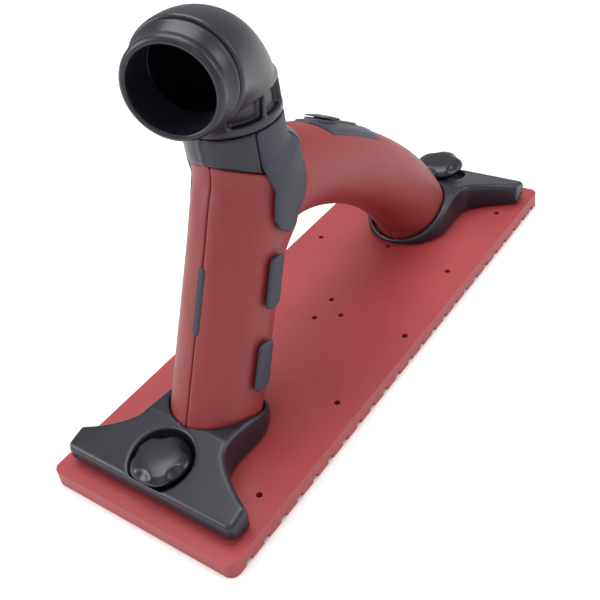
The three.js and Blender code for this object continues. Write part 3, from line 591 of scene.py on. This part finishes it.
def make_handle():
    """Both halves of the hollow handle, and the pads let into them, all cut from one field."""
    step = 0.6
    g = Grid((-92, -19.5, 6), (93, 1.2, 114), step)
    outside, s = handle_field(g)
    inside = np.maximum(handle_field(g, capped=False)[0] + HANDLE_WALL, 13 - g.z)
    for end in (-1, 1):
        inside = np.minimum(inside, np.maximum(np.hypot(g.x - end * FOOT_X, g.y) - DUCT, g.z - 15))
    posts = [np.hypot(g.x - x, g.z - z) for x, z in CROSS_SCREWS]
    for post in posts:
        inside = np.maximum(inside, 3.8 - post)
    standing = smooth_max(outside, FOOT_Z - g.z, 0.4)
    body = smooth_min(outside, collar_field(g), 5.0)
    areas = pad_areas(g)

    shell = np.maximum(standing, -inside)
    for area in areas.values():
        pocket = np.maximum(area - PAD_SEAM, -(body + PAD_DEPTH + 0.3))
        shell = smooth_max(shell, -pocket, 0.25)
    along, off = slide_places(g)
    bezel = outline_distance(along, g.y, BEZEL, 1.0) + 0 * off
    shell = np.maximum(shell, -np.maximum(np.maximum(bezel - 0.3, -(outside + 2.2)), -12 - off))
    shell = np.maximum(shell, -np.maximum(stem_slot(along, g.y), -12 - off))
    halved = smooth_max(shell, g.y + 0.13, 0.3)
    right, left = halved, halved
    for post in posts:
        right = np.maximum(right, np.where(g.y > -9.5, 1.6 - post, -99))
        left = np.maximum(left, 1.6 - post)
        left = np.maximum(left, np.minimum(3.2 - post, -(g.y + 12)))
    for name, field, mirror in (("handle_right", right, None), ("handle_left", left, 1)):
        piece = from_field(f"{name}_shell", g, field, mirror=mirror)
        dress(piece, "sander", RED_SHADED, "red_plastic", name)

    for name, area in areas.items():
        if name == "rear_grip_pad":
            continue
        pad = np.maximum(smooth_max(body - 0.25, area, 0.6), -(body + PAD_DEPTH))
        if name == "web_pad":
            pad = np.maximum(np.maximum(pad, g.y + 6.5), g.z - 112.6)
        for side, mirror in (("right", None), ("left", 1)):
            piece = from_field(f"{name}_{side}_soft", g, pad, mirror=mirror, smooth=1)
            dress(piece, "sander", RUBBER, "grip_rubber", f"{name}_{side}")
    make_rear_pad()


def make_rear_pad():
    g = Grid((-72, -3.2, 38), (-48, 3.2, 74), 0.3)
    outside, s = column_field(g)
    area = np.hypot(np.maximum(np.maximum(REAR_PAD[0] + 1.5 - s, s - REAR_PAD[1] + 1.5), 0), g.y) - 1.5
    pad = np.maximum(smooth_max(outside - 0.45, area, 0.7), -(outside + PAD_DEPTH))
    behind = g.along(COLUMN_FOOT, ACROSS)
    piece = from_field("rear_grip_pad_soft", g, np.maximum(pad, behind))
    dress(piece, "sander", RUBBER, "grip_rubber", "rear_grip_pad")


def make_collar():
    g = Grid((-56, -20, 83), (-11, 20, 114), 0.45)
    s = g.along(COLUMN_FOOT, LEAN)
    side = collar_field(g)
    seam = np.maximum(np.abs(g.y) - 0.45, g.x - SWIVEL_X)
    side = side - 0.35 * np.clip(1 - seam / 0.7, 0, 1) * (g.x < SWIVEL_X)
    solid = smooth_max(smooth_max(side, COLUMN_LENGTH + 0.3 - s, 0.6), g.z - SWIVEL_Z + 0.15, 0.8)
    upright = np.hypot(g.x - SWIVEL_X, g.y)
    share = ramp(g.z, 90, 101)
    bore = (np.hypot(g.along(COLUMN_FOOT, ACROSS), g.y) * (1 - share) + upright * share) - 13.1
    bore = np.minimum(bore, np.maximum(upright - 14.5, 102 - g.z))
    bore = np.minimum(bore, np.maximum(upright - 15.4, abs(g.z - SWIVEL_Z + 9.4) - 0.7))
    body = smooth_min(handle_field(g)[0], side, 5.0)
    pocket = np.maximum(np.maximum(web_area(g) - PAD_SEAM, -(body + PAD_DEPTH + 0.3)), 6.5 - abs(g.y))
    piece = from_field("swivel_collar_shell", g, np.maximum(np.maximum(solid, -bore), -pocket))
    dress(piece, "sander", BLACK, "black_plastic", "swivel_collar")


# ------------------------------------------------------------------ elbow and cuff
WINDOW = dict(low=3.4, high=11.4, depth=14.8, pitch=44, first=21, span=39, count=3)


def make_elbow():
    g = Grid((-80, -34, 101), (-13, 20, 158), 0.5)
    origin = (SWIVEL_X, 0, SWIVEL_Z)
    u, w, v = g.along(origin, PORT), g.along(origin, PORT_SIDE), g.z - SWIVEL_Z
    turn = np.clip(np.arctan2(v, BEND - u), 0, math.pi / 2)
    reach = np.hypot(np.hypot(BEND - u, v) - BEND, w)
    tube = np.maximum(reach - TUBE_START - TUBE_SWELL * np.sin(turn), -v)
    upright = np.hypot(u, w)
    skirt = np.maximum(upright - SWIVEL_RADIUS, v - 13)
    outside = smooth_max(smooth_min(tube, skirt, 1.2), u - BEND, 1.0)
    outside = smooth_max(outside, 0.15 - v, 0.7)
    angle = np.degrees(np.arctan2(w, u))
    windows = np.full(g.shape, 99, np.float32)
    for k in range(WINDOW["count"]):
        middle = WINDOW["first"] + k * WINDOW["pitch"] + WINDOW["span"] / 2
        for sign in (-1, 1):
            arc = (abs(angle - sign * middle) - WINDOW["span"] / 2) * math.radians(1) * SWIVEL_RADIUS
            tall = np.maximum(WINDOW["low"] - v, v - WINDOW["high"])
            floor = np.maximum(WINDOW["depth"] - upright, BORE + 1.3 - reach)
            windows = np.minimum(windows, smooth_max(smooth_max(arc, tall, 1.6), floor, 0.8))
    outside = smooth_max(outside, -windows, 0.7)
    spigot = np.maximum(np.maximum(upright - 14.1, -10.5 - v), v - 2)
    spigot = np.maximum(spigot, -np.maximum(13.2 - upright, abs(v + 5.9) - 1.2))
    spigot = np.maximum(spigot, -np.maximum(13.2 - upright, abs(v + 9.4) - 0.6))
    bore = np.minimum(np.maximum(reach - BORE, -v), np.maximum(upright - 12.6, v))
    sleeve = np.maximum(np.hypot(w, v - BEND) - 15.5, CUFF_FROM - 5.3 - u)
    elbow = np.maximum(np.minimum(outside, spigot), -np.minimum(bore, sleeve))
    piece = from_field("hose_elbow_shell", g, elbow)
    dress(piece, "elbow", BLACK, "black_plastic", "hose_elbow")


def make_cuff():
    mouth, inner = CUFF_FROM + CUFF_LENGTH, CUFF_FROM - 5
    seal = inner + 1.8
    lip = curve_through([
        (17.25, mouth - 8.1), (16.4, mouth - 6.6), (15.6, mouth - 4.6), (15.7, mouth - 3.7),
        (16.1, mouth - 2.4), (16.0, mouth - 1.2), (15.3, mouth - 0.3), (14.5, mouth),
        (13.8, mouth - 0.3), (13.5, mouth - 1.1),
    ], steps=5)
    profile = [
        (13.5, inner), (15.2, inner), (15.2, seal), (14.3, seal), (14.3, seal + 1.8), (15.2, seal + 1.8),
        (15.2, CUFF_FROM), (16.9, CUFF_FROM), (17.2, CUFF_FROM + 0.15), (17.3, CUFF_FROM + 0.5),
        (17.3, mouth - 8.4),
        *[tuple(p) for p in lip],
    ]
    cuff = turned("hose_cuff_shell", profile, (SWIVEL_X, 0, PORT_Z), PORT, PORT_SIDE)
    dress(cuff, "cuff", BLACK, "black_plastic", "hose_cuff")
    edges = cuff.modifiers.new("edges", "WEIGHTED_NORMAL")
    edges.keep_sharp = True
    cuff.data.set_sharp_from_angle(angle=math.radians(50))


# ------------------------------------------------------------------ slider
def make_slider():
    g = SlideGrid((-1, -11, -12), (45, 11, 6), 0.4)
    outside, _ = handle_field(g)
    rim = outline_distance(g.a, g.y, BEZEL, 1.0)
    slot = outline_distance(g.a, g.y, SLOT, 0.6)
    bezel = smooth_max(smooth_max(np.broadcast_to(outside - 0.6, g.shape), rim, 0.7), -slot, 0.5)
    bezel = np.maximum(bezel, -(outside + 1.9))
    piece = from_field("slider_bezel_shell", g, np.maximum(bezel, -12 - g.h))
    dress(piece, "sander", GREY, "grey_plastic", "slider_bezel")

    fine = SlideGrid((5, -5, -5), (36, 5, 4), 0.3)
    outside, _ = handle_field(fine)
    track = smooth_max(outline_distance(fine.a, fine.y, SLOT, 0.6) + 0.3, fine.h - TRACK_TOP, 0.5)
    track = np.maximum(track, -(outside + 1.9))
    piece = from_field("slider_track_shell", fine, np.maximum(track, -stem_slot(fine.a, fine.y)))
    dress(piece, "sander", TRACK, "black_plastic", "slider_track")

    cap_grid = SlideGrid((6.5, -5.5, -6), (22, 5.5, 5), 0.25)
    a, y, h = cap_grid.a, cap_grid.y, cap_grid.h
    plan = outline_distance(a, y, [(8, -4.4), (20.4, -4.4), (20.4, 4.4), (8, 4.4)], 0.9)
    top = TRACK_TOP + 0.3 + np.interp(a, (8, 14, 19.4, 20.4), (0.6, 1.15, 0.9, 0.7)) - 0.012 * y**2
    cap = smooth_max(smooth_max(plan, h - top, 0.5), TRACK_TOP + 0.3 - h, 0.1)
    tall = np.maximum(h - TRACK_TOP - 0.6, -4.6 - h)
    stem = np.maximum(np.maximum(abs(a - 14.2) - 3, abs(y) - 1.9), tall)
    piece = from_field("airflow_slider_cap", cap_grid, np.minimum(cap, stem))
    dress(piece, "airflow", TRACK, "black_plastic", "airflow_slider")


# ------------------------------------------------------------------ clamps
JAW_EDGE = [
    (71, 18.7), (82, 18.3), (88.5, 19.3), (92.8, 22.9), (96.5, 27.7), (99.7, 32.9), (102, 37.7),
    (109.2, 37.7), (110.8, 36.1),
]
NOSE_CENTRE, NOSE_RADIUS = 71, 18.7
JAW_NOSE = [
    (NOSE_CENTRE + NOSE_RADIUS * math.cos(a), NOSE_RADIUS * math.sin(a))
    for a in (math.radians(d) for d in range(175, 95, -10))
]
JAW_SIDE = [
    (48, 6.9), (105.5, 6.9), (106.5, 8), (113, 8), (113, 13), (110.6, 14.6), (86, 20.75), (80, 20.5),
    (72, 19.2), (62, 14.6), (54, 10), (48, 8.6),
]
RECESS = dict(floor=11.6, top=17.5, radii=(10.9, 12.4), wall=109.4)


def make_jaw(name, end):
    """One clamp jaw: a wing-shaped wedge round the handle's foot, with a round recess for the knob."""
    step = 0.5
    left, right = sorted((end * 51, end * 112.5))
    g = Grid((left, -39.5, 6), (right, 39.5, 22), step)
    u = abs(g.x)
    half = curve_through(JAW_NOSE + JAW_EDGE[:-2], steps=4)
    rim = [tuple(p) for p in half] + JAW_EDGE[-2:]
    plan = outline_distance(u, abs(g.y), [(52.3, -5), *rim, (110.8, -5)])
    plan = np.maximum(plan, u - 110.8)
    uu, zz = np.broadcast_arrays(u[:, :, 0], g.z[:, 0, :])
    side = (polygon_distance(uu, zz, JAW_SIDE))[:, None, :]
    jaw = smooth_max(np.broadcast_to(plan, g.shape), side, 1.8)
    for drop in (0, 1.25, 2.5):
        lowered = Grid(g.low, g.low + (np.array(g.shape) - 1) * step, step)
        lowered.z = lowered.z + drop
        jaw = smooth_max(jaw, 0.4 - handle_field(lowered)[0], 0.3)
    r = np.hypot(u - STUD_X, g.y)
    wall = np.interp(g.z, (RECESS["floor"], RECESS["top"]), RECESS["radii"])
    near_foot = 0.9 * np.clip((STUD_X - u) / 12, 0, 1) ** 2
    recess = np.maximum(np.maximum(r + near_foot - wall, RECESS["floor"] - g.z), u - RECESS["wall"])
    jaw = smooth_max(jaw, -recess, 0.9)
    jaw = np.maximum(jaw, -np.minimum(r - 3.3, np.maximum(r - 8.8, g.z - 10.3)))
    piece = from_field(f"{name}_clamp_jaw_shell", g, jaw)
    dress(piece, f"{name}_jaw", BLACK, "black_plastic", f"{name}_clamp_jaw")


def make_knob(name, end, raised):
    """A low five-lobed knob, its dome scooped between the lobes."""
    x = end * STUD_X
    g = Grid((x - 12.5, -12.5, 12 + raised), (x + 12.5, 12.5, 21 + raised), 0.3)
    r, angle, z = np.hypot(g.x - x, g.y), np.arctan2(g.y, g.x - x), g.z - raised
    lobes = np.cos(5 * angle)
    side = (r - 10.75 - 0.3 * lobes) * 0.95
    dome = z - (19.8 - 2.1 * np.clip(r / 11, 0, 1.2) ** 3)
    head = smooth_max(smooth_max(side, dome, 2.2), 15.4 - z, 0.8)
    for k in range(5):
        valley = math.pi / 5 + 2 * math.pi * k / 5
        dx, dy = g.x - x - 12.4 * math.cos(valley), g.y - 12.4 * math.sin(valley)
        scoop = np.sqrt(dx**2 + dy**2 + (z - 21.6) ** 2) - 5.3
        head = smooth_max(head, -scoop, 0.9)
    hub = np.maximum(np.maximum(r - 8, 12.6 - z), z - 16)
    bore = np.maximum(r - 3.1, z - 17.9)
    piece = from_field(f"{name}_knob_shell", g, np.maximum(np.minimum(head, hub), -bore))
    dress(piece, f"{name}_knob", KNOB_BLACK, "black_plastic", f"{name}_knob")


make_plate()
make_handle()
make_collar()
make_elbow()
make_cuff()
make_slider()
for clamp, where in (("rear", -1), ("front", 1)):
    make_jaw(clamp, where)
    make_knob(clamp, where, KNOB_RAISED[clamp])
